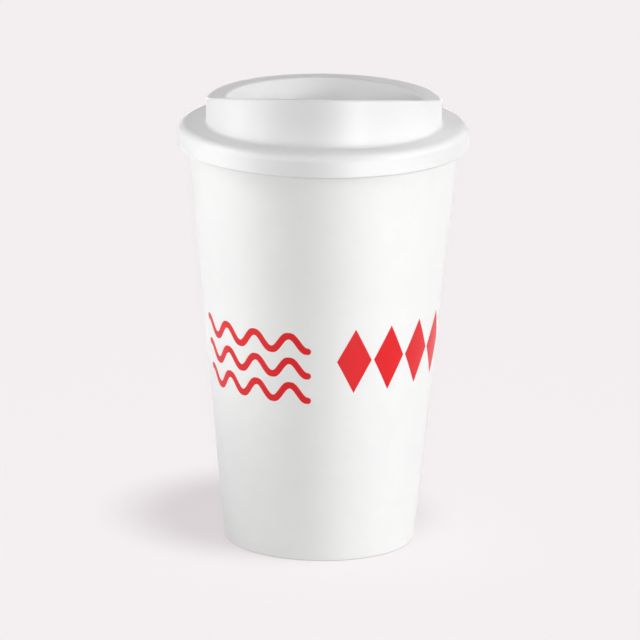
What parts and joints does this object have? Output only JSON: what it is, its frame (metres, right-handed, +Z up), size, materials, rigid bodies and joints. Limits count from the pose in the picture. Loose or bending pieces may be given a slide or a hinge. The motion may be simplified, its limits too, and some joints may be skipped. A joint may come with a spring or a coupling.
{
  "type": "paper coffee cup with press-on lid",
  "caption": "Conical paper cup with a rolled rim, lapped side seam and recessed base, under a press-on plastic lid with a raised drinking lip.",
  "frame": {"origin": "centre of the ring that the cup stands on, at table height", "axes": "+Z up the cup's axis towards the lid, -Y towards the raised drinking lip, +Y towards the side seam, +X to the right of someone who faces the lip"},
  "size_m": [0.092, 0.092, 0.1517],
  "materials": {
    "coated_board": "satin",
    "lid_plastic": "satin"
  },
  "bodies": {
    "cup": {"sidewall": "coated_board", "base_disc": "coated_board"},
    "lid": {"lid": "lid_plastic"}
  },
  "joints": [
    {"name": "lid_lift", "type": "slide", "parent": "cup", "child": "lid", "axis": [0, 0, 1], "range_m": [0, 0.06]}
  ]
}
